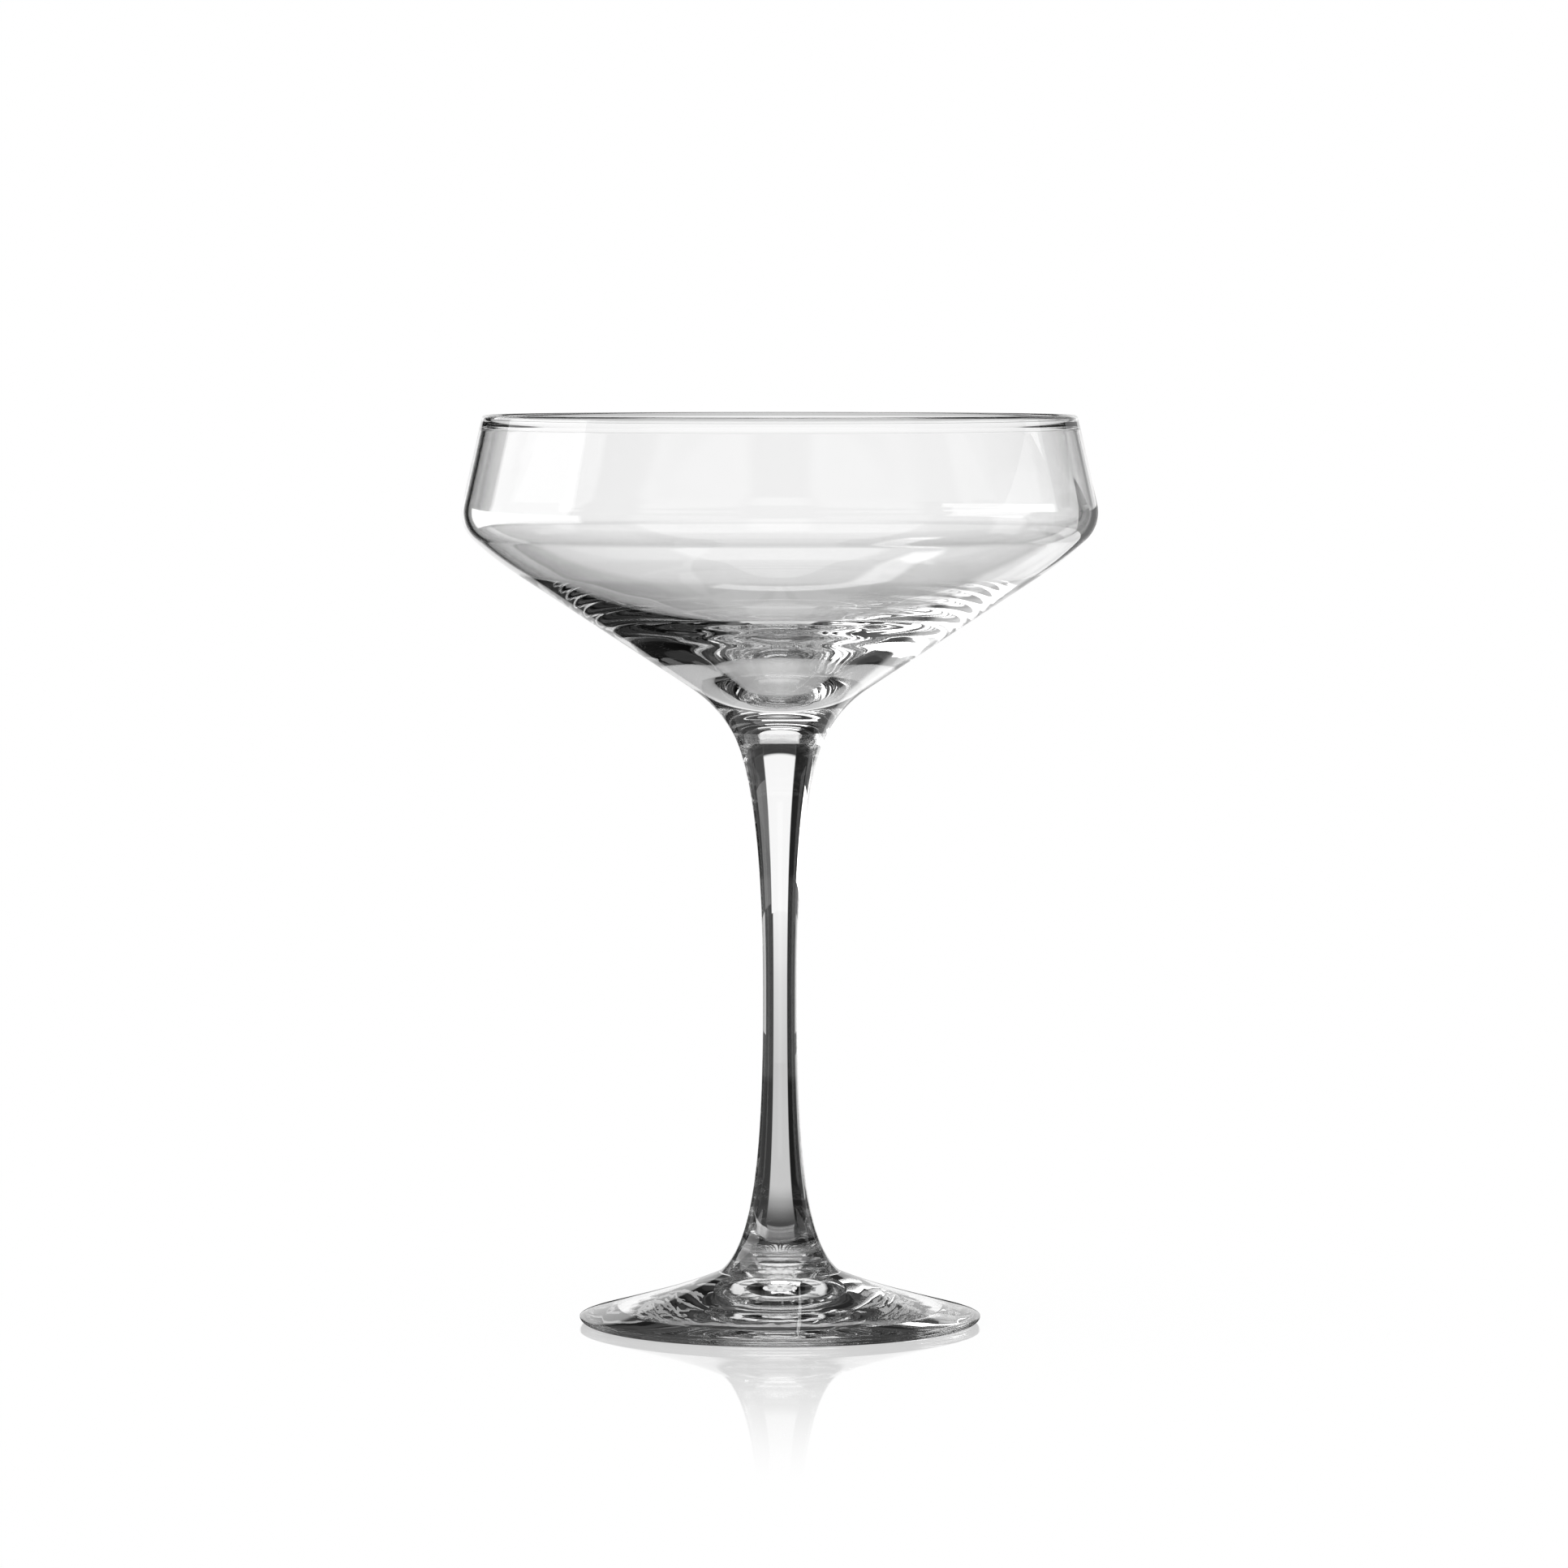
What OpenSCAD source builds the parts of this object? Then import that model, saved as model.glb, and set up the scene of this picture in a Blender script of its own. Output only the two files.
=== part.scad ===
// Coupe glass: a wide, shallow bowl on a slim drawn stem and a round foot.
// The bowl, the stem and the foot are three gathers of clear glass, joined hot
// at two flat joints. Each piece is one outline turned about the upright axis.
// The origin is on the table, in the middle of the ring that the foot rests on.

/* [Whole glass] */
// Overall height, from the table to the top of the lip
glass_h = 168; // [160:0.5:180]

/* [Bowl] */
// Height of the bowl, from its joint with the stem to the top of the lip
bowl_h = 58.5; // [56:0.5:64]
// Widest diameter, at the shoulder
bowl_d = 117.2; // [110:0.2:122]
// Outer diameter at the lip
rim_d = 109.8; // [102:0.2:114]
// Height of the upright wall, from the widest place to the top of the lip
wall_h = 17.9; // [14:0.1:21]
// Outer radius of the shoulder, at the widest place
shoulder_r = 7.1; // [5:0.1:9]
// Outer radius of the softer curve from the shoulder down into the cone, as a
// share of the height of the bowl
under_share = 1.025; // [0.4:0.005:1.2]
// Thickness of the upright wall
wall_t = 1.2; // [0.9:0.05:1.5]
// Thickness of the fire-polished lip
lip_t = 1.6; // [1.5:0.05:2.2]
// Length over which the inside thins from the lip to the wall
lip_fade = 2.4; // [1.5:0.1:4]
// Thickness of the cone at its lower end, where the neck curve starts
cone_t = 5.45; // [4.5:0.05:6.5]
// Length of the straight slope inside the bowl, from above that place upwards
cone_run = 6; // [4:0.5:10]
// Height of the inside floor above the joint with the stem
floor_t = 7.3; // [6:0.1:9]
// Radius of the hollow curve that runs from the cone into the stem, as a share
// of the height of the bowl
neck_share = 0.393; // [0.3:0.005:0.5]

/* [Stem] */
// Diameter of the joint between the bowl and the stem
neck_d = 17.6; // [15:0.1:20]
// Diameter of the stem at its thinnest place
waist_d = 6.3; // [5:0.1:8]
// Height of the thinnest place above the table
waist_h = 60; // [52:0.5:70]
// Diameter of the joint between the stem and the foot
base_d = 22.2; // [19:0.1:25]

/* [Foot] */
// Diameter of the foot
foot_d = 74.2; // [68:0.2:80]
// Height of the joint between the stem and the foot above the table
foot_h = 9.5; // [8:0.1:11]
// Height of the widest line of the foot above the table
edge_h = 1.3; // [1:0.05:1.6]
// Thickness of the foot where its top face starts to round over
edge_t = 1.95; // [1.8:0.05:2.6]
// Width of the rounding at the top of the edge
edge_top_w = 1.8; // [1:0.1:2.6]
// Width of the rounding under the edge
edge_under_w = 2.2; // [1:0.1:3]
// Width of the flat ring that the foot rests on
ring_w = 5.4; // [2:0.1:8]
// Height of the hollow under the middle of the foot
kick_h = 3.6; // [2:0.1:5]

/* [Hidden] */
$fn = 144;

// How finely the round stretches of the outlines are drawn
arc_steps = 14;
curve_steps = 26;
corner_steps = 6;
// Directions, in degrees, that the pieces share at their joints
neck_lean = 29;
base_rise = 37;
// Direction in which the shoulder hands over to the softer curve below it
shoulder_turn_a = -47;
// How far, in degrees, the inside has turned beyond the cone outside: where it
// leaves the curve under the wall, and on the straight slope
inside_leave_turn = 2;
inside_slope_turn = 3.3;
// Slopes of the foot, in degrees: top face at the joint and at the edge, and
// the hollow underneath where it leaves the resting ring
foot_top_slope = 24;
foot_edge_slope = 15;
kick_slope = 13;
// How far each drawn curve follows the direction of its ends, as a share of
// the height or the width that the curve spans
neck_pull_share = 0.24;
waist_up_share = 0.15;
waist_down_share = 0.56;
base_pull_share = 0.155;
lip_fade_share = 0.5;
thicken_share = 0.75;
inside_share = 0.35;
foot_top_share = 0.3;
foot_edge_share = 0.35;
kick_ring_share = 0.3;
kick_middle_share = 0.35;
// Where the slope inside ends and the round floor starts, as a share of the
// radius at the lower end of the cone
floor_start_share = 0.68;
// Handle of a quarter curve that comes closest to a true ellipse
quarter_share = 0.5523;

// Places that the pieces share
joint_z = glass_h - bowl_h;
neck_rim = [neck_d / 2, joint_z];
base_rim = [base_d / 2, foot_h];
waist = [waist_d / 2, waist_h];

// Centres and radii of the round corners of the bowl. The hollow neck curve
// has its centre outside the glass, so its radius counts as negative.
under_r = under_share * bowl_h;
neck_r = neck_share * bowl_h;
shoulder_c = [bowl_d / 2 - shoulder_r, glass_h - wall_h];
under_c = shoulder_c - (under_r - shoulder_r) * heading(shoulder_turn_a);
lip_r = lip_t / 2;
lip_c = [rim_d / 2 - lip_r, glass_h - lip_r];
neck_c = neck_rim + neck_r * heading(-neck_lean);
inner_shoulder_r = shoulder_r - wall_t;
inner_under_r = under_r - wall_t;

// Directions square to the straight stretches of the bowl
cone_a = tangent_a(neck_c, -neck_r, under_c, under_r);
wall_a = tangent_a(shoulder_c, shoulder_r, lip_c, lip_r);
inside_leave_a = cone_a - inside_leave_turn;
inside_slope_a = cone_a - inside_slope_turn;

// Inside of the lip, and the place below it where the wall has its thickness
wall_down = heading(wall_a - 90);
lip_inner = on_circle(lip_c, -lip_r, wall_a);
wall_top = on_circle(lip_c, lip_r - wall_t, wall_a) + lip_fade * wall_down;

// Inside of the cone: a straight slope that passes one cone thickness above
// the neck curve, with a round floor below it
slope_down = heading(inside_slope_a - 90);
slope_mid = on_circle(neck_c, -neck_r, cone_a) - cone_t * heading(cone_a);
slope_top = slope_mid - cone_run * slope_down;
floor_rim = slope_mid + (floor_start_share - 1) * slope_mid[0] / slope_down[0] * slope_down;
floor_middle = [0, joint_z + floor_t];

// Radii of the foot's resting ring
foot_r = foot_d / 2;
ring_outer_r = foot_r - edge_under_w;
ring_inner_r = ring_outer_r - ring_w;

// Unit step in a direction given in degrees
function heading(a) = [cos(a), sin(a)];

// Point on a circle
function on_circle(c, r, a) = c + r * heading(a);

// Points along an arc, from angle a0 to angle a1
function arc(c, r, a0, a1, steps = arc_steps) =
    [for (i = [0:steps]) on_circle(c, r, a0 + (a1 - a0) * i / steps)];

// Direction square to the straight line that touches two circles
function tangent_a(c0, r0, c1, r1) =
    let (v = c1 - c0)
    atan2(v[1], v[0]) - acos((r0 - r1) / norm(v));

// Points along a smooth curve from p0 to p3, which sets out towards p1 and
// arrives from p2
function curve(p0, p1, p2, p3, steps = curve_steps) =
    [for (i = [0:steps])
        let (t = i / steps, u = 1 - t)
        u * u * u * p0 + 3 * u * u * t * p1 + 3 * u * t * t * p2 + t * t * t * p3];

// Quarter of an ellipse from p0 to p1, tucked into the given corner
function round_corner(p0, corner, p1) =
    curve(p0, p0 + quarter_share * (corner - p0),
          p1 + quarter_share * (corner - p1), p1, corner_steps);

// Outside of the bowl, from the joint up to the lip and over its bead
function bowl_outside() = concat(
    arc(neck_c, -neck_r, -neck_lean, cone_a),
    arc(under_c, under_r, cone_a, shoulder_turn_a),
    arc(shoulder_c, shoulder_r, shoulder_turn_a, wall_a),
    arc(lip_c, lip_r, wall_a, wall_a + 180));

// Curve that leaves p0 along d0 and arrives at p1 along d1, following both for
// a share of the way
function eased(p0, d0, share0, p1, d1, share1) =
    let (way = norm(p1 - p0))
    curve(p0, p0 + share0 * way * d0, p1 - share1 * way * d1, p1);

// Inside of the bowl, from the lip down to the middle of the floor
function bowl_inside() =
    let (leave = on_circle(under_c, inner_under_r, inside_leave_a))
    concat(
        eased(lip_inner, wall_down, lip_fade_share, wall_top, wall_down, lip_fade_share),
        arc(shoulder_c, inner_shoulder_r, wall_a, shoulder_turn_a),
        arc(under_c, inner_under_r, shoulder_turn_a, inside_leave_a),
        eased(leave, heading(inside_leave_a - 90), thicken_share, slope_top, slope_down, inside_share),
        eased(floor_rim, slope_down, inside_share, floor_middle, [-1, 0], inside_share));

// Side of the stem, from the foot up to the bowl
function stem_side() =
    let (down = waist_h - foot_h, up = joint_z - waist_h)
    concat(
        curve(base_rim,
              base_rim + base_pull_share * down * heading(180 - base_rise),
              waist - [0, waist_down_share * down],
              waist),
        curve(waist,
              waist + [0, waist_up_share * up],
              neck_rim - neck_pull_share * up * heading(90 - neck_lean),
              neck_rim));

// Underside of the foot, from the middle out to the resting ring
function foot_under() =
    let (ring = [ring_inner_r, 0])
    curve([0, kick_h],
          [kick_middle_share * ring_inner_r, kick_h],
          ring + kick_ring_share * ring_inner_r * heading(180 - kick_slope),
          ring);

// Rounded edge of the foot, from the resting ring out and up to the top face
function foot_edge() =
    let (widest = [foot_r, edge_h],
         top = [foot_r - edge_top_w, edge_t],
         corner_z = edge_t - edge_top_w * tan(foot_edge_slope))
    concat(
        round_corner([ring_outer_r, 0], [foot_r, 0], widest),
        round_corner(widest, [foot_r, max(corner_z, edge_h)], top));

// Top face of the foot, from the edge up to the joint with the stem
function foot_top() =
    let (top = [foot_r - edge_top_w, edge_t],
         span = top[0] - base_rim[0])
    curve(top,
          top + foot_edge_share * span * heading(180 - foot_edge_slope),
          base_rim + foot_top_share * span * heading(-foot_top_slope),
          base_rim);

// Outline without the points that repeat the one before
function tidied(points) =
    [for (i = [0:len(points) - 1])
        if (i == 0 || norm(points[i] - points[max(i - 1, 0)]) > 0) points[i]];

module turned(points) {
    rotate_extrude()
        polygon(tidied(points));
}

module bowl() {
    color([0.86, 0.89, 0.9, 0.45])
        turned(concat([[0, joint_z]], bowl_outside(), bowl_inside()));
}

module stem() {
    color([0.8, 0.83, 0.84, 0.55])
        turned(concat([[0, foot_h]], stem_side(), [[0, joint_z]]));
}

module foot() {
    color([0.83, 0.86, 0.87, 0.5])
        turned(concat(foot_under(), foot_edge(), foot_top(), [[0, foot_h]]));
}

bowl();
stem();
foot();
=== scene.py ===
import math

import bmesh
import bpy
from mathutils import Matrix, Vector

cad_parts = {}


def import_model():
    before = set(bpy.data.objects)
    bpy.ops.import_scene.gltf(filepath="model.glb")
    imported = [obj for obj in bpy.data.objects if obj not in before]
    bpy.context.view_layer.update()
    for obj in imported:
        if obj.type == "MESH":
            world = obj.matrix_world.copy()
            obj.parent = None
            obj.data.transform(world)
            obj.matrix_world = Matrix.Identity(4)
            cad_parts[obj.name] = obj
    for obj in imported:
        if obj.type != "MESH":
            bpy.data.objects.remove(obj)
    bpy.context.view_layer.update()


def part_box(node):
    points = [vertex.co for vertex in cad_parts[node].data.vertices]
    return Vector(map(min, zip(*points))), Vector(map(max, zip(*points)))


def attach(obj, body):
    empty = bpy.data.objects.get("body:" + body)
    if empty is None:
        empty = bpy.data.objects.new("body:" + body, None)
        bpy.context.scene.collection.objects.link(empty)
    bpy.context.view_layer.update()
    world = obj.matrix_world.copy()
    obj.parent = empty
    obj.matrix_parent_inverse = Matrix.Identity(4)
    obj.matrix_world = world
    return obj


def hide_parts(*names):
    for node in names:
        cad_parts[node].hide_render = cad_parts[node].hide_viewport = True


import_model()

scene = bpy.context.scene

# Sizes of the glass, in metres and degrees, from the frame where it holds them.
# The others are those of the part's source.
BOWL_LOW, BOWL_HIGH = (Vector(c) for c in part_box("bowl"))
FOOT_LOW, FOOT_HIGH = (Vector(c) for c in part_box("foot"))
GLASS_H = BOWL_HIGH.z
JOINT_Z = BOWL_LOW.z
BOWL_R = BOWL_HIGH.x
FOOT_R = FOOT_HIGH.x
FOOT_H = FOOT_HIGH.z

# Bowl: lip, wall, shoulder, the curve under it, and the inside of the cone
RIM_R = 0.0549
WALL_H = 0.0179
SHOULDER_R = 0.0071
UNDER_R = 1.025 * (GLASS_H - JOINT_Z)
SHOULDER_TURN = -47
WALL_T = 0.0012
LIP_R = 0.0008
LIP_FADE = 0.0024
CONE_T = 0.00545
CONE_RUN = 0.006
FLOOR_T = 0.0073
LEAVE_TURN, SLOPE_TURN = 2, 3.3
FADE_PULL, THICKEN, EASE, FLOOR_START = 0.5, 0.75, 0.35, 0.68
NECK_CURVE_R = 0.393 * (GLASS_H - JOINT_Z)

# Stem
NECK_R = 0.0088
NECK_LEAN = 29
WAIST_R = 0.00315
WAIST_H = 0.060
BASE_R = 0.0111
BASE_RISE = 37
NECK_PULL, WAIST_UP, WAIST_DOWN, BASE_PULL = 0.24, 0.15, 0.56, 0.155

# Foot: edge, resting ring, hollow underneath and top face
EDGE_H = 0.0013
EDGE_T = 0.00195
EDGE_TOP_W = 0.0018
EDGE_UNDER_W = 0.0022
RING_W = 0.0054
KICK_H = 0.0036
FOOT_TOP_SLOPE, FOOT_EDGE_SLOPE, KICK_SLOPE = 24, 15, 13
FOOT_TOP_PULL, FOOT_EDGE_PULL = 0.3, 0.35
KICK_RING_PULL, KICK_MIDDLE_PULL = 0.3, 0.35
# Handle of a quarter curve that comes closest to a true ellipse
QUARTER = 0.5523

# How finely the outlines are drawn and turned
ARC_STEPS = 20
CURVE_STEPS = 60
CORNER_STEPS = 10
TURN_STEPS = 288
# Gaps, in metres, that count as none: between points of an outline and between a
# face and its joint, between points that are merged, and along a collapsed edge
NO_GAP, MERGE_GAP, SLIVER = 1e-6, 1e-7, 1e-8
# Edges that turn more than this many degrees stay sharp
SHARP_ANGLE = 40

# Faint waves in the skin, as bump: height in metres, waves a metre, distortion,
# and the two distances from the axis between which they set in
SKIN_WAVES = {"bowl": (0.000002, 35, 0.4, 0, 0.02),
              "stem": (0.000002, 60, 0.4, 0, 0.01),
              "foot": (0.000008, 110, 1.0, 0.012, 0.026)}
# Waves in the shape itself: first and last point of the outline (counted from its
# end where negative), height, waves a metre, and 1 for waves that keep to the right
TOOL_WAVES = {"bowl": (-122, -61, 0.00003, 90, 1.0),
              "stem": (0, 0, 0.0, 1, 0.0),
              "foot": (20, 58, 0.00006, 170, 0.0)}
TOOL_DISTORTION = 0.8
# Points of the outline over which those waves set in, and how steeply and how far
# from the right side they fade out
WAVE_FADE = 8
LEFT_FADE, LEFT_REACH = 3.4, 2.2

# Glass: refraction, its greatest roughness, and the noise above which it is rough
GLASS_IOR = 1.5
FIRE_POLISH = 0.004
ROUGH_FROM = 0.7

# Light passes the glass many times before it leaves it
LIGHT_BOUNCES = 40
WHITE = (1, 1, 1, 1)


def heading(angle):
    """Unit step in a direction given in degrees, as (across, up)."""
    return Vector((math.cos(math.radians(angle)), math.sin(math.radians(angle))))


def arc(centre, radius, start, end, steps=ARC_STEPS):
    return [centre + radius * heading(start + (end - start) * i / steps) for i in range(steps + 1)]


def tangent(c0, r0, c1, r1):
    """Direction square to the straight line that touches two circles."""
    gap = c1 - c0
    return math.degrees(math.atan2(gap.y, gap.x) - math.acos((r0 - r1) / gap.length))


def curve(p0, p1, p2, p3, steps=CURVE_STEPS):
    out = []
    for i in range(steps + 1):
        t = i / steps
        u = 1 - t
        out.append(u * u * u * p0 + 3 * u * u * t * p1 + 3 * u * t * t * p2 + t * t * t * p3)
    return out


def eased(p0, d0, share0, p1, d1, share1):
    """Curve that leaves p0 along d0 and arrives at p1 along d1."""
    way = (p1 - p0).length
    return curve(p0, p0 + share0 * way * d0, p1 - share1 * way * d1, p1)


def corner(p0, tip, p1):
    """Quarter of an ellipse from p0 to p1, tucked into the corner at tip."""
    return curve(p0, p0 + QUARTER * (tip - p0), p1 + QUARTER * (tip - p1), p1, CORNER_STEPS)


def bowl_outline():
    shoulder = Vector((BOWL_R - SHOULDER_R, GLASS_H - WALL_H))
    under = shoulder - (UNDER_R - SHOULDER_R) * heading(SHOULDER_TURN)
    lip = Vector((RIM_R - LIP_R, GLASS_H - LIP_R))
    neck = Vector((NECK_R, JOINT_Z)) + NECK_CURVE_R * heading(-NECK_LEAN)
    cone_a = tangent(neck, -NECK_CURVE_R, under, UNDER_R)
    wall_a = tangent(shoulder, SHOULDER_R, lip, LIP_R)
    leave_a = cone_a - LEAVE_TURN
    wall_down, slope_down = heading(wall_a - 90), heading(cone_a - SLOPE_TURN - 90)
    wall_top = lip + (LIP_R - WALL_T) * heading(wall_a) + LIP_FADE * wall_down
    slope_mid = neck - NECK_CURVE_R * heading(cone_a) - CONE_T * heading(cone_a)
    slope_top = slope_mid - CONE_RUN * slope_down
    floor_rim = slope_mid + (FLOOR_START - 1) * slope_mid.x / slope_down.x * slope_down
    inside = arc(under, UNDER_R - WALL_T, SHOULDER_TURN, leave_a)
    return ([Vector((0, JOINT_Z))]
            + arc(neck, -NECK_CURVE_R, -NECK_LEAN, cone_a)
            + arc(under, UNDER_R, cone_a, SHOULDER_TURN)
            + arc(shoulder, SHOULDER_R, SHOULDER_TURN, wall_a)
            + arc(lip, LIP_R, wall_a, wall_a + 180, 2 * ARC_STEPS)
            + eased(lip - LIP_R * heading(wall_a), wall_down, FADE_PULL,
                    wall_top, wall_down, FADE_PULL)
            + arc(shoulder, SHOULDER_R - WALL_T, wall_a, SHOULDER_TURN)
            + inside
            + eased(inside[-1], heading(leave_a - 90), THICKEN, slope_top, slope_down, EASE)
            + eased(floor_rim, slope_down, EASE,
                    Vector((0, JOINT_Z + FLOOR_T)), Vector((-1, 0)), EASE))


def stem_outline():
    down, up = WAIST_H - FOOT_H, JOINT_Z - WAIST_H
    base = Vector((BASE_R, FOOT_H))
    waist = Vector((WAIST_R, WAIST_H))
    neck = Vector((NECK_R, JOINT_Z))
    lower = curve(base, base + BASE_PULL * down * heading(180 - BASE_RISE),
                  waist - Vector((0, WAIST_DOWN * down)), waist)
    upper = curve(waist, waist + Vector((0, WAIST_UP * up)),
                  neck - NECK_PULL * up * heading(90 - NECK_LEAN), neck)
    return [Vector((0, FOOT_H))] + lower + upper[1:] + [Vector((0, JOINT_Z))]


def foot_outline():
    ring_out = FOOT_R - EDGE_UNDER_W
    ring_in = ring_out - RING_W
    ring = Vector((ring_in, 0))
    under = curve(Vector((0, KICK_H)), Vector((KICK_MIDDLE_PULL * ring_in, KICK_H)),
                  ring + KICK_RING_PULL * ring_in * heading(180 - KICK_SLOPE), ring)
    widest = Vector((FOOT_R, EDGE_H))
    top = Vector((FOOT_R - EDGE_TOP_W, EDGE_T))
    tip_z = EDGE_T - EDGE_TOP_W * math.tan(math.radians(FOOT_EDGE_SLOPE))
    edge = (corner(Vector((ring_out, 0)), Vector((FOOT_R, 0)), widest)
            + corner(widest, Vector((FOOT_R, max(tip_z, EDGE_H))), top))
    span = top.x - BASE_R
    base = Vector((BASE_R, FOOT_H))
    face = curve(top, top + FOOT_EDGE_PULL * span * heading(180 - FOOT_EDGE_SLOPE),
                 base + FOOT_TOP_PULL * span * heading(-FOOT_TOP_SLOPE), base)
    return under + edge + face + [Vector((0, FOOT_H))]


def tidied(points):
    """The outline without the points that repeat the one before."""
    out = [points[0]]
    for p in points[1:]:
        if (p - out[-1]).length > NO_GAP:
            out.append(p)
    return out


def node(tree, kind, **settings):
    made = tree.nodes.new(kind)
    for key, value in settings.items():
        setattr(made, key, value)
    return made


def feed(tree, socket, value):
    """Sets a socket to a number or a colour, or links an output to it."""
    if isinstance(value, (int, float, tuple)):
        socket.default_value = value
    else:
        tree.links.new(value, socket)


def math_node(tree, operation, *values):
    """Output of a Math node."""
    made = node(tree, "ShaderNodeMath", operation=operation)
    for socket, value in zip(made.inputs, values):
        feed(tree, socket, value)
    return made.outputs[0]


def turning_tree():
    """Geometry Nodes: turns an outline (x across, z up) about the axis into a closed skin."""
    tree = bpy.data.node_groups.new("turned_glass", "GeometryNodeTree")
    inputs = (("Outline", "Geometry"), ("Outline Points", "Int"), ("Steps Around", "Int"),
              ("Waves From", "Int"), ("Waves To", "Int"), ("Wave Height", "Float"),
              ("Waves per Metre", "Float"), ("One Side", "Float"), ("Glass", "Material"))
    for name, kind in inputs:
        tree.interface.new_socket(name, in_out="INPUT", socket_type="NodeSocket" + kind)
    tree.interface.new_socket("Glass Skin", in_out="OUTPUT", socket_type="NodeSocketGeometry")
    ins = node(tree, "NodeGroupInput")
    outs = node(tree, "NodeGroupOutput")
    link = tree.links.new

    def maths(operation, *values):
        return math_node(tree, operation, *values)

    grid = node(tree, "GeometryNodeMeshGrid")
    around = maths("ADD", ins.outputs["Steps Around"], 1)
    link(ins.outputs["Outline Points"], grid.inputs["Vertices X"])
    link(around, grid.inputs["Vertices Y"])
    index = node(tree, "GeometryNodeInputIndex").outputs[0]
    along = maths("FLOOR", maths("DIVIDE", maths("ADD", index, 0.5), around))
    turn = maths("SUBTRACT", index, maths("MULTIPLY", along, around))
    angle = maths("MULTIPLY", maths("DIVIDE", turn, ins.outputs["Steps Around"]), 2 * math.pi)
    where = node(tree, "GeometryNodeInputPosition")
    sample = node(tree, "GeometryNodeSampleIndex", data_type="FLOAT_VECTOR", domain="POINT")
    link(ins.outputs["Outline"], sample.inputs["Geometry"])
    link(where.outputs[0], sample.inputs["Value"])
    link(along, sample.inputs["Index"])
    split = node(tree, "ShaderNodeSeparateXYZ")
    link(sample.outputs[0], split.inputs[0])
    join = node(tree, "ShaderNodeCombineXYZ")
    link(maths("MULTIPLY", split.outputs["X"], maths("COSINE", angle)), join.inputs["X"])
    link(maths("MULTIPLY", split.outputs["X"], maths("SINE", angle)), join.inputs["Y"])
    link(split.outputs["Z"], join.inputs["Z"])
    # faint waves left by the tools, over one stretch of the outline
    noise = node(tree, "ShaderNodeTexNoise")
    noise.inputs["Detail"].default_value = 1
    noise.inputs["Distortion"].default_value = TOOL_DISTORTION
    link(join.outputs[0], noise.inputs["Vector"])
    link(ins.outputs["Waves per Metre"], noise.inputs["Scale"])
    after = maths("DIVIDE", maths("SUBTRACT", along, ins.outputs["Waves From"]), WAVE_FADE)
    before = maths("DIVIDE", maths("SUBTRACT", ins.outputs["Waves To"], along), WAVE_FADE)
    strength = maths("MINIMUM", maths("MAXIMUM", maths("MINIMUM", after, before), 0), 1)
    to_the_right = maths("MULTIPLY", maths("COSINE", angle), LEFT_FADE)
    other_side = maths("SUBTRACT", LEFT_REACH, to_the_right)
    other_side = maths("MULTIPLY", other_side, ins.outputs["One Side"])
    other_side = maths("MINIMUM", maths("MAXIMUM", other_side, 0), 1)
    strength = maths("MULTIPLY", strength, maths("SUBTRACT", 1, other_side))
    height = maths("MULTIPLY", maths("MULTIPLY", noise.outputs["Fac"], strength),
                   ins.outputs["Wave Height"])
    lift = node(tree, "ShaderNodeCombineXYZ")
    link(height, lift.inputs["Z"])
    place = node(tree, "GeometryNodeSetPosition")
    link(grid.outputs["Mesh"], place.inputs["Geometry"])
    link(join.outputs[0], place.inputs["Position"])
    link(lift.outputs[0], place.inputs["Offset"])
    merge = node(tree, "GeometryNodeMergeByDistance")
    merge.inputs["Distance"].default_value = MERGE_GAP
    link(place.outputs[0], merge.inputs["Geometry"])
    real = node(tree, "GeometryNodeRealizeInstances")
    link(merge.outputs[0], real.inputs[0])
    paint = node(tree, "GeometryNodeSetMaterial")
    link(real.outputs[0], paint.inputs["Geometry"])
    link(ins.outputs["Glass"], paint.inputs["Material"])
    link(paint.outputs[0], outs.inputs["Glass Skin"])
    return tree


def turned(name, outline, tree, material, waves):
    """A closed piece of glass, made by turning its outline."""
    points = tidied(outline)
    mesh = bpy.data.meshes.new(name + "_outline")
    edges = [(i, i + 1) for i in range(len(points) - 1)]
    mesh.from_pydata([(p.x, 0, p.y) for p in points], edges, [])
    maker = bpy.data.objects.new(name + "_outline", mesh)
    scene.collection.objects.link(maker)
    modifier = maker.modifiers.new("turning", "NODES")
    modifier.node_group = tree
    first, last, height, scale, one_side = waves
    values = {"Outline Points": len(points), "Steps Around": TURN_STEPS, "Glass": material,
              "Waves From": first % len(points), "Waves To": last % len(points),
              "Wave Height": height, "Waves per Metre": float(scale), "One Side": one_side}
    for item in tree.interface.items_tree:
        if item.name in values:
            modifier[item.identifier] = values[item.name]
    ready = maker.evaluated_get(bpy.context.evaluated_depsgraph_get())
    skin = bpy.data.meshes.new_from_object(ready)
    skin.name = name
    bpy.data.objects.remove(maker)
    piece = bpy.data.objects.new(name, skin)
    scene.collection.objects.link(piece)
    shape = bmesh.new()
    shape.from_mesh(skin)
    bmesh.ops.dissolve_degenerate(shape, edges=shape.edges, dist=SLIVER)
    bmesh.ops.recalc_face_normals(shape, faces=shape.faces)
    shape.to_mesh(skin)
    shape.free()
    skin.shade_smooth()
    return piece


def weld_faces(piece, joint, heights):
    """Gives the flat joint faces the see-through joint material."""
    skin = piece.data
    skin.materials.append(joint)
    for face in skin.polygons:
        for height in heights:
            if all(abs(skin.vertices[v].co.z - height) < NO_GAP for v in face.vertices):
                face.material_index = 1
    skin.set_sharp_from_angle(angle=math.radians(SHARP_ANGLE))


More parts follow.
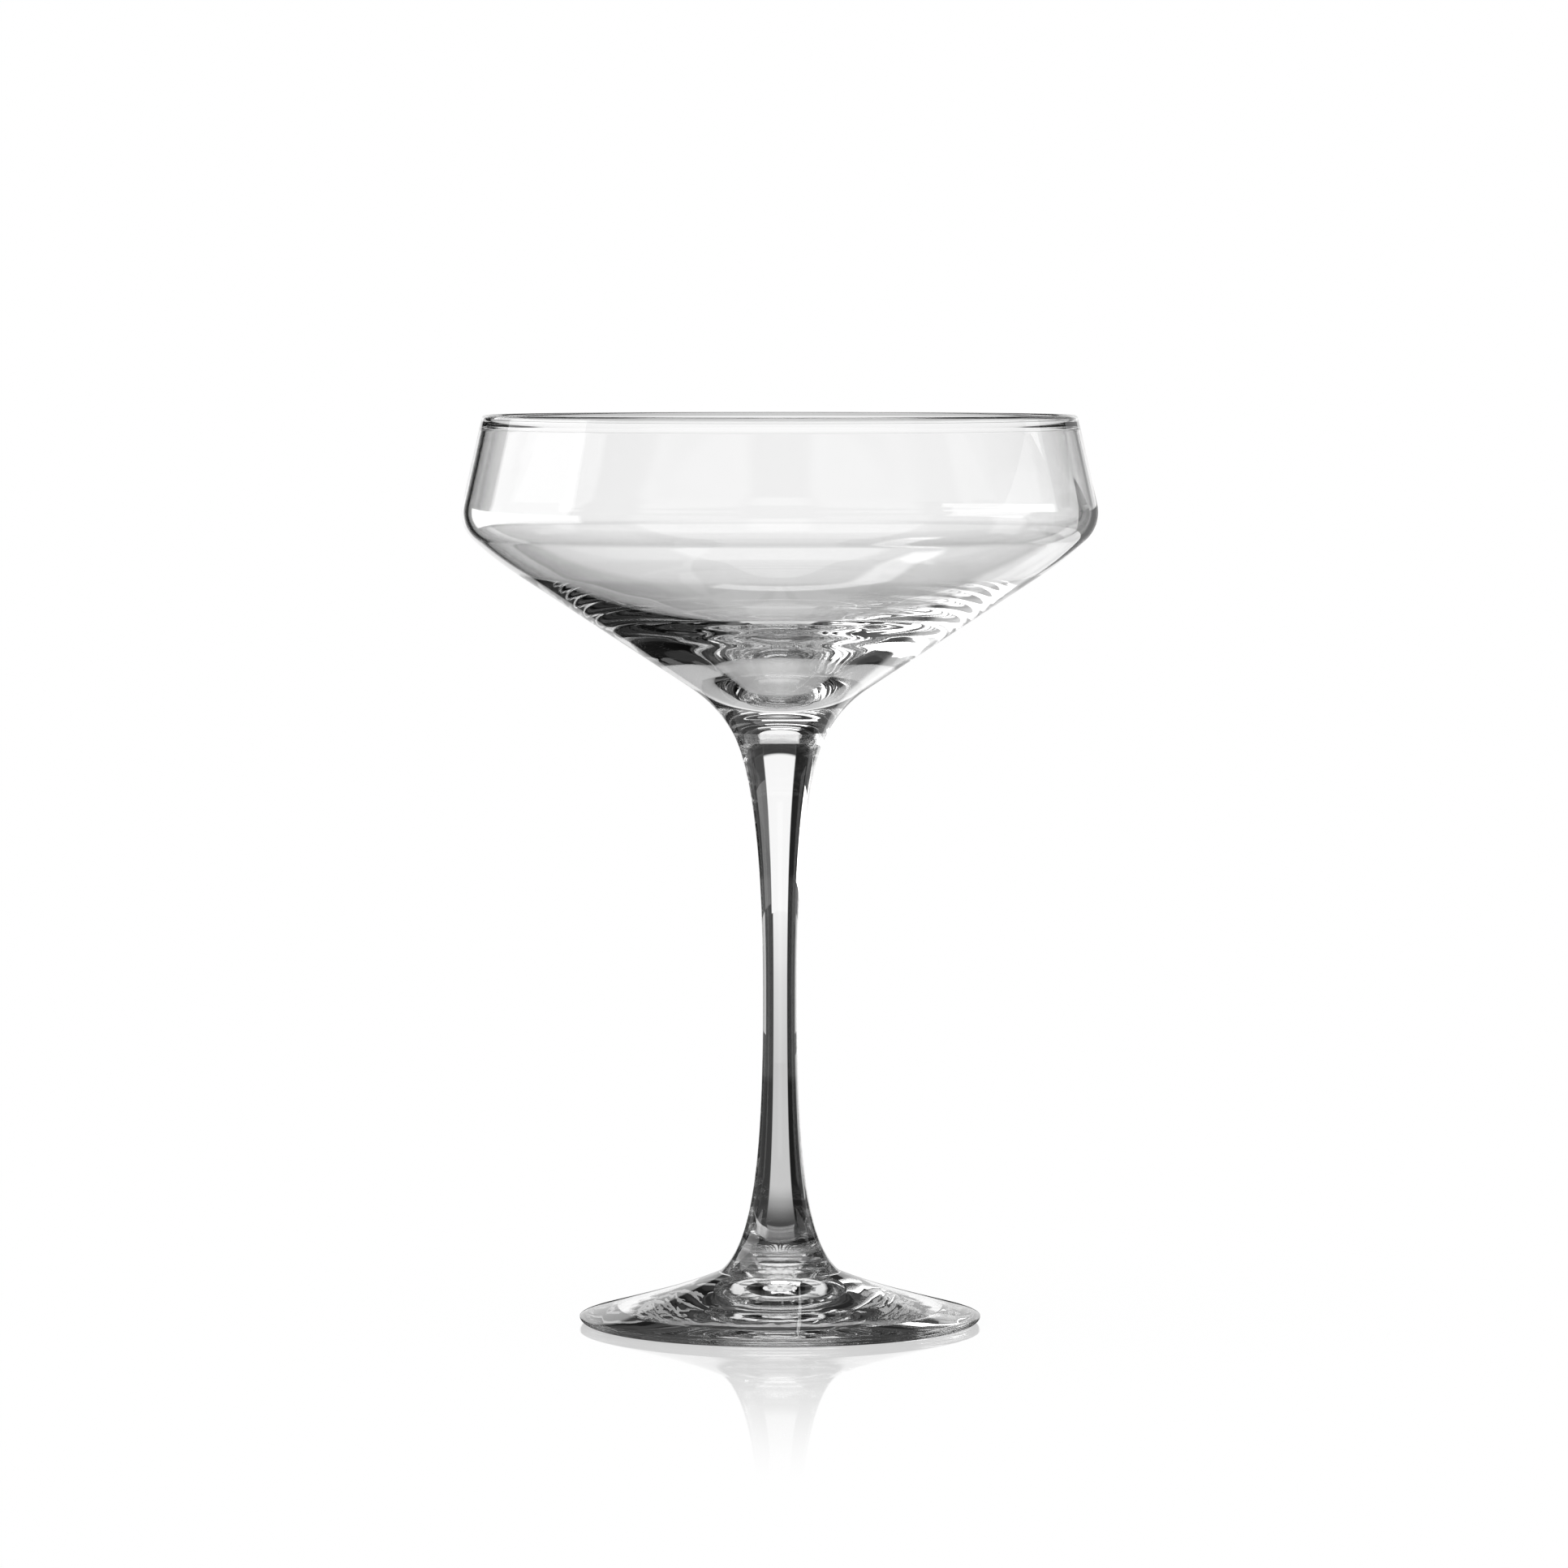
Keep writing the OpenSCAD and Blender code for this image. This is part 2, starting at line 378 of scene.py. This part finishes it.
def clear_glass(name, height, scale, distortion, calm, full):
    """Clear glass whose skin carries faint waves from hot working."""
    made = bpy.data.materials.new(name + "_clear_glass")
    made.use_nodes = True
    tree = made.node_tree
    shader = tree.nodes["Principled BSDF"]
    shader.inputs["Base Color"].default_value = WHITE
    shader.inputs["IOR"].default_value = GLASS_IOR
    shader.inputs["Transmission Weight"].default_value = 1
    where = node(tree, "ShaderNodeTexCoord")
    waves = node(tree, "ShaderNodeTexNoise")
    waves.inputs["Scale"].default_value = scale
    waves.inputs["Detail"].default_value = 2
    waves.inputs["Distortion"].default_value = distortion
    tree.links.new(where.outputs["Object"], waves.inputs["Vector"])
    polish = node(tree, "ShaderNodeMapRange")
    polish.inputs["From Min"].default_value = ROUGH_FROM
    polish.inputs["To Max"].default_value = FIRE_POLISH
    tree.links.new(waves.outputs["Fac"], polish.inputs["Value"])
    tree.links.new(polish.outputs[0], shader.inputs["Roughness"])
    split = node(tree, "ShaderNodeSeparateXYZ")
    flat = node(tree, "ShaderNodeCombineXYZ")
    far = node(tree, "ShaderNodeVectorMath", operation="LENGTH")
    tree.links.new(where.outputs["Object"], split.inputs[0])
    tree.links.new(split.outputs["X"], flat.inputs["X"])
    tree.links.new(split.outputs["Y"], flat.inputs["Y"])
    tree.links.new(flat.outputs[0], far.inputs[0])
    setting_in = node(tree, "ShaderNodeMapRange", interpolation_type="SMOOTHSTEP")
    setting_in.inputs["From Min"].default_value = calm
    setting_in.inputs["From Max"].default_value = full
    tree.links.new(far.outputs["Value"], setting_in.inputs["Value"])
    bump = node(tree, "ShaderNodeBump")
    bump.inputs["Distance"].default_value = height
    tree.links.new(setting_in.outputs[0], bump.inputs["Strength"])
    tree.links.new(waves.outputs["Fac"], bump.inputs["Height"])
    tree.links.new(bump.outputs["Normal"], shader.inputs["Normal"])
    return made


def joint_material():
    """Lets light straight through, so that the fused bodies look like one."""
    made = bpy.data.materials.new("joint_in_the_glass")
    made.use_nodes = True
    tree = made.node_tree
    tree.nodes.remove(tree.nodes["Principled BSDF"])
    through = node(tree, "ShaderNodeBsdfTransparent")
    tree.links.new(through.outputs[0], tree.nodes["Material Output"].inputs["Surface"])
    return made


def make_glass():
    tree = turning_tree()
    joint = joint_material()
    plan = {"bowl": (bowl_outline(), (JOINT_Z,)),
            "stem": (stem_outline(), (JOINT_Z, FOOT_H)),
            "foot": (foot_outline(), (FOOT_H,))}
    for name, (outline, heights) in plan.items():
        glass = clear_glass(name, *SKIN_WAVES[name])
        piece = turned("glass_" + name, outline, tree, glass, TOOL_WAVES[name])
        weld_faces(piece, joint, heights)
        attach(piece, "root")
        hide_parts(name)


# Radius and height of the round room, and the height from which its degrees are counted
STUDIO_R, STUDIO_H = 2.2, 4.2
EYE_Z = 0.1
# Half the width of the floor, and how far it lies below the foot, so that the two
# don't share a plane
FLOOR_HALF = 6.0
FLOOR_DROP = 0.00002

# Painted light and shade that only the glass sees of the studio: the room and the floor
# glow in bands that light nothing. Each card is (left edge, right edge, lowest, highest,
# brightness, softness of the sides). Directions are in degrees: 0 is straight behind the
# glass for the camera, and they grow to the right. Lowest and highest are degrees above
# EYE_Z for the room, and distances from the axis in metres for the floor. The shades are
# the painted brightness where no card is.
ROOM_SHADE, FLOOR_SHADE = 0.15, 0.05
ROOM_PAINTED_CARDS = [(-125, -41, -9, 90, 0.06, 2), (42, 125, -9, 90, 0.03, 2),
              (-102, -78, -9, 3, 1.0, 2), (82, 98, -9, 3, 1.0, 2),
              (168, 192, -9, 3, 0.85, 6), (-192, -168, -9, 3, 0.85, 6),
              (-41, -17, -9, 60, 0.01, 1), (18, 33, -9, 20, 0.04, 1),
              (33, 42, -9, 60, 0.01, 1), (18, 33, 20, 60, 0.01, 1),
              (-17, 18, 18.5, 60, 0.04, 1), (-17, 18, -9, 18.5, 1.0, 1),
              (-200, 200, 49, 95, 0.02, 1),
              (17, 21, 1, 4, 0.9, 1), (21, 30, 1, 4, 0.4, 1)]
FLOOR_PAINTED_CARDS = [(-125, -50, 0.05, 0.4, 0.45, 2),
               (-102, -78, 0.25, 9, 1.0, 2), (82, 98, 0.25, 9, 1.0, 2),
               (168, 192, 0.25, 9, 0.85, 6), (-192, -168, 0.25, 9, 0.85, 6),
               (-50, -17, 0.0, 9, 0.01, 1), (15, 32, 0.0, 9, 0.04, 1),
               (32, 60, 0.0, 9, 0.01, 1)]
# The floor straight behind the glass, as only the glass sees it: its left and right edge,
# the softness of both, and its painted brightness at distances from the glass. It is
# dark under the foot, a painted shadow, grey near it and pale far off.
BEHIND = -17, 15, 1
FLOOR_BEHIND = [(0.0, 0.06), (0.045, 0.06), (0.09, 0.6), (0.4, 0.6), (1.0, 0.8), (2.2, 0.95)]
# Painted light that doesn't show in direct reflections: a painted glow for a soft box over
# the back wall, which lights nothing, and the pale corners behind the camera
ROOM_PASSED = [(-30, 13, 50, 56, 3.0, 1),
               (-165, -125, -9, 10, 0.75, 4), (125, 165, -9, 10, 0.75, 4)]
FLOOR_PASSED = [(-165, -125, 0.2, 9, 0.75, 4), (125, 165, 0.2, 9, 0.75, 4)]
# Painted reflections on the floor: cards that show only in direct reflections
FLOOR_SHEEN = [(38, 75, 0.08, 0.3, 0.6, 4), (15, 41, 0.17, 1.2, 1.8, 3)]
# Softness of the near and far edges: of room cards in degrees, of floor cards in metres
ROOM_EDGE, FLOOR_EDGE, SHEEN_EDGE = 1, 0.0005, 0.02

# Degrees that each flat of a bent card spans
CARD_STEP = 3
# Upright cards that only the glass sees: they light nothing and cast no shadow, so their
# glow is painted highlight and their dark is painted dark in the glass. Columns: name,
# left edge, right edge, lowest, highest, distance, brightness
RING_CARDS = [("soft_box_left_low", -110, -42, 0.085, 0.165, 0.30, 2.2),
              ("soft_box_left_high", -105, -60, 0.165, 0.30, 0.30, 1.5),
              ("low_card_left", -96, -50, 0.02, 0.07, 0.31, 0.5),
              ("low_card_right", 43, 80, 0.02, 0.07, 0.31, 0.5),
              ("dark_flag_narrow", 18, 40, 0.07, 0.155, 0.30, 0.15),
              ("black_flag", 40, 80, 0.07, 0.165, 0.30, 0.0)]
# Upright cards that show only in direct reflections: painted reflections, which light nothing
SHEEN_CARDS = [("grey_card_right", 20, 57, 0.15, 0.295, 1.0, 0.4),
               ("soft_box_right", 62, 115, 0.24, 0.42, 1.0, 0.9)]

# The floor that the camera sees: colour, share and fade of its shadow, and the
# rise, strength, roughness and fade of its mirror image of the glass
FLOOR_COLOUR = (0.92, 0.92, 0.92, 1)
SHADOW_SHARE, SHADOW_FADE = 0.05, (0.05, 0.3)
MIRROR_RISE, MIRROR_STRENGTH, MIRROR_ROUGHNESS, MIRROR_FADE = 12, 2.2, 0.02, (0.03, 0.20)

# Lamp and camera: places in metres, turns in degrees. The camera was fitted to the
# ellipses that the rim and the foot make in the photo.
LAMP_SIZE, LAMP_ENERGY = 1.2, 4
LAMP_PLACE, LAMP_TURNS = (-0.3, -0.2, 1.5), (-8, -11, 0)
LENS, SENSOR_W = 171.5, 36
CLIP_NEAR, CLIP_FAR = 0.05, 50
CAMERA_PLACE, CAMERA_DOWN = (0.00075, -1.3765, 0.1812), 3.38


class Paint:
    """A material's node tree with short names for the sums it needs."""

    def __init__(self, name):
        self.material = bpy.data.materials.new(name)
        self.material.use_nodes = True
        self.tree = self.material.node_tree
        self.tree.nodes.remove(self.tree.nodes["Principled BSDF"])
        self.out = self.tree.nodes["Material Output"]

    def put(self, socket, value):
        feed(self.tree, socket, value)

    def maths(self, operation, *values):
        return math_node(self.tree, operation, *values)

    def rise(self, value, low, high):
        """0 below low, 1 above high, and smooth between"""
        made = node(self.tree, "ShaderNodeMapRange", interpolation_type="SMOOTHSTEP")
        for name, number in (("Value", value), ("From Min", low), ("From Max", high)):
            self.put(made.inputs[name], number)
        return made.outputs[0]

    def band(self, value, low, high, soft):
        return self.maths("SUBTRACT", self.rise(value, low - soft, low + soft),
                          self.rise(value, high - soft, high + soft))

    def blend(self, first, second, share):
        made = node(self.tree, "ShaderNodeMix", data_type="FLOAT")
        for socket, value in zip(made.inputs[:1] + made.inputs[2:4], (share, first, second)):
            self.put(socket, value)
        return made.outputs[0]

    def place(self):
        """direction round the glass in degrees, distance from its axis, and height"""
        where = node(self.tree, "ShaderNodeTexCoord")
        split = node(self.tree, "ShaderNodeSeparateXYZ")
        self.tree.links.new(where.outputs["Object"], split.inputs[0])
        x, y, z = split.outputs
        turn = self.maths("MULTIPLY", self.maths("ARCTAN2", x, y), 180 / math.pi)
        squares = self.maths("ADD", self.maths("MULTIPLY", x, x), self.maths("MULTIPLY", y, y))
        far = self.maths("SQRT", squares)
        return turn, far, z

    def ramp(self, value, stops):
        """stops of (value, brightness), with straight stretches between them"""
        made = node(self.tree, "ShaderNodeValToRGB")
        self.put(made.inputs[0], value)
        marks = made.color_ramp.elements
        while len(marks) < len(stops):
            marks.new(1)
        for mark, (spot, bright) in zip(marks, stops):
            mark.position = spot
            mark.color = (bright, bright, bright, 1)
        return made.outputs[0]

    def cards(self, turn, reach, cards, shade, edge):
        """the shade with the cards painted over it, each later one on top"""
        for left, right, low, high, bright, soft in cards:
            inside = self.maths("MULTIPLY", self.band(turn, left, right, soft),
                                self.band(reach, low, high, edge))
            shade = self.blend(shade, bright, inside)
        return shade

    def glow(self, strength):
        made = node(self.tree, "ShaderNodeEmission")
        self.put(made.inputs["Strength"], strength)
        return made.outputs[0]

    def glowing(self, strength):
        return self.finish(self.glow(strength))

    def sheen(self, strength):
        """glows in direct reflections only, and is clear to all other rays: a painted reflection
        """
        rays = node(self.tree, "ShaderNodeLightPath").outputs
        clear = node(self.tree, "ShaderNodeBsdfTransparent")
        shown = self.mix(rays["Is Reflection Ray"], clear.outputs[0], self.glow(strength))
        return self.finish(shown)

    def mix(self, share, first, second):
        made = node(self.tree, "ShaderNodeMixShader")
        for socket, value in zip(made.inputs, (share, first, second)):
            self.put(socket, value)
        return made.outputs[0]

    def finish(self, shader):
        self.tree.links.new(shader, self.out.inputs["Surface"])
        return self.material


def floor():
    """White for the camera, with a soft shadow and a mirror image, and painted for the glass."""
    mesh = bpy.data.meshes.new("floor")
    h = FLOOR_HALF
    mesh.from_pydata([(-h, -h, 0), (h, -h, 0), (h, h, 0), (-h, h, 0)], [], [(0, 1, 2, 3)])
    made = bpy.data.objects.new("floor", mesh)
    scene.collection.objects.link(made)
    made.location.z = -FLOOR_DROP
    # the floor also carries painted light and shade that only the glass sees
    paint = Paint("pale_polished_floor_painted_for_glass")
    turn, far, _ = paint.place()
    rays = node(paint.tree, "ShaderNodeLightPath").outputs
    lit = node(paint.tree, "ShaderNodeBsdfDiffuse")
    lit.inputs["Color"].default_value = FLOOR_COLOUR
    # the camera sees a white floor that keeps a soft shadow near the glass
    faded = paint.maths("MULTIPLY", paint.rise(far, *SHADOW_FADE), SHADOW_SHARE)
    shadow = paint.maths("SUBTRACT", SHADOW_SHARE, faded)
    seen = paint.mix(shadow, paint.glow(1.0), lit.outputs[0])
    # its polish mirrors the glass at a low angle, less and less away from it
    facing = node(paint.tree, "ShaderNodeLayerWeight")
    facing.inputs["Blend"].default_value = 0.5
    polish = paint.maths("POWER", facing.outputs["Facing"], MIRROR_RISE)
    polish = paint.maths("MULTIPLY", polish, MIRROR_STRENGTH)
    fading = paint.maths("SUBTRACT", 1, paint.rise(far, *MIRROR_FADE))
    polish = paint.maths("MULTIPLY", polish, fading)
    mirror = node(paint.tree, "ShaderNodeBsdfGlossy")
    mirror.inputs["Color"].default_value = WHITE
    mirror.inputs["Roughness"].default_value = MIRROR_ROUGHNESS
    seen = paint.mix(polish, seen, mirror.outputs[0])
    # the glass sees the floor with painted light and shade, cards and a painted shadow under
    # the foot, not the white that the camera sees
    shade = paint.cards(turn, far, FLOOR_PAINTED_CARDS, FLOOR_SHADE, FLOOR_EDGE)
    stops = [(distance / STUDIO_R, bright) for distance, bright in FLOOR_BEHIND]
    behind = paint.ramp(paint.maths("DIVIDE", far, STUDIO_R), stops)
    shade = paint.blend(shade, behind, paint.band(turn, *BEHIND))
    reflected = paint.cards(turn, far, FLOOR_SHEEN, shade, SHEEN_EDGE)
    passed = paint.cards(turn, far, FLOOR_PASSED, shade, SHEEN_EDGE)
    through = paint.glow(paint.blend(passed, reflected, rays["Is Reflection Ray"]))
    direct = paint.mix(rays["Is Camera Ray"], lit.outputs[0], seen)
    side = paint.maths("MAXIMUM", rays["Is Transmission Ray"], rays["Is Glossy Ray"])
    side = paint.maths("MULTIPLY", side, paint.maths("SUBTRACT", 1, rays["Is Camera Ray"]))
    mesh.materials.append(paint.finish(paint.mix(side, direct, through)))


def card(name, left, right, low, high, far, material):
    """A bent card round the glass, between two directions and heights, hidden from the camera;
    it lights nothing and casts no shadow.
    """
    count = max(1, round((right - left) / CARD_STEP))
    turns = [math.radians(left + (right - left) * i / count) for i in range(count + 1)]
    spots = [(far * math.sin(t), far * math.cos(t), z) for z in (low, high) for t in turns]
    n = count + 1
    mesh = bpy.data.meshes.new(name)
    mesh.from_pydata(spots, [], [(i, i + 1, n + i + 1, n + i) for i in range(count)])
    mesh.materials.append(material)
    made = bpy.data.objects.new(name, mesh)
    scene.collection.objects.link(made)
    made.visible_camera = False
    made.visible_diffuse = False
    made.visible_shadow = False


def studio():
    """The round room and the upright cards: painted light and shade that only the glass sees."""
    paint = Paint("painted_light_room")
    turn, _, z = paint.place()
    above = paint.maths("SUBTRACT", z, EYE_Z)
    rise = paint.maths("MULTIPLY", paint.maths("ARCTAN2", above, STUDIO_R), 180 / math.pi)
    rays = node(paint.tree, "ShaderNodeLightPath").outputs
    shade = paint.cards(turn, rise, ROOM_PAINTED_CARDS, ROOM_SHADE, ROOM_EDGE)
    passed = paint.cards(turn, rise, ROOM_PASSED, shade, ROOM_EDGE)
    room = paint.finish(paint.glow(paint.blend(passed, shade, rays["Is Reflection Ray"])))
    card("painted_light_room", -180, 180, 0, STUDIO_H, STUDIO_R, room)
    for name, *place, bright in RING_CARDS:
        card(name, *place, Paint(name).glowing(bright))
    for name, *place, bright in SHEEN_CARDS:
        card(name, *place, Paint(name).sheen(bright))


def lamp():
    """A plain soft lamp above the glass, for the shadow on the floor."""
    made = bpy.data.lights.new("soft_lamp", "AREA")
    made.size = LAMP_SIZE
    made.energy = LAMP_ENERGY
    rig = bpy.data.objects.new("soft_lamp", made)
    rig.location = LAMP_PLACE
    rig.rotation_euler = [math.radians(turn) for turn in LAMP_TURNS]
    rig.visible_glossy = False
    rig.visible_transmission = False
    scene.collection.objects.link(rig)


def world():
    made = bpy.data.worlds.new("white_studio")
    made.use_nodes = True
    back = made.node_tree.nodes["Background"]
    back.inputs["Color"].default_value = WHITE
    back.inputs["Strength"].default_value = 1
    scene.world = made


def camera():
    made = bpy.data.cameras.new("camera")
    made.lens = LENS
    made.sensor_width = SENSOR_W
    made.clip_start, made.clip_end = CLIP_NEAR, CLIP_FAR
    rig = bpy.data.objects.new("camera", made)
    rig.location = CAMERA_PLACE
    rig.rotation_euler = (math.radians(90 - CAMERA_DOWN), 0, 0)
    scene.collection.objects.link(rig)
    scene.camera = rig


for kind in ("max", "transmission", "glossy", "transparent_max"):
    setattr(scene.cycles, kind + "_bounces", LIGHT_BOUNCES)
make_glass()
floor()
studio()
lamp()
world()
camera()
scene.view_settings.view_transform = "Standard"
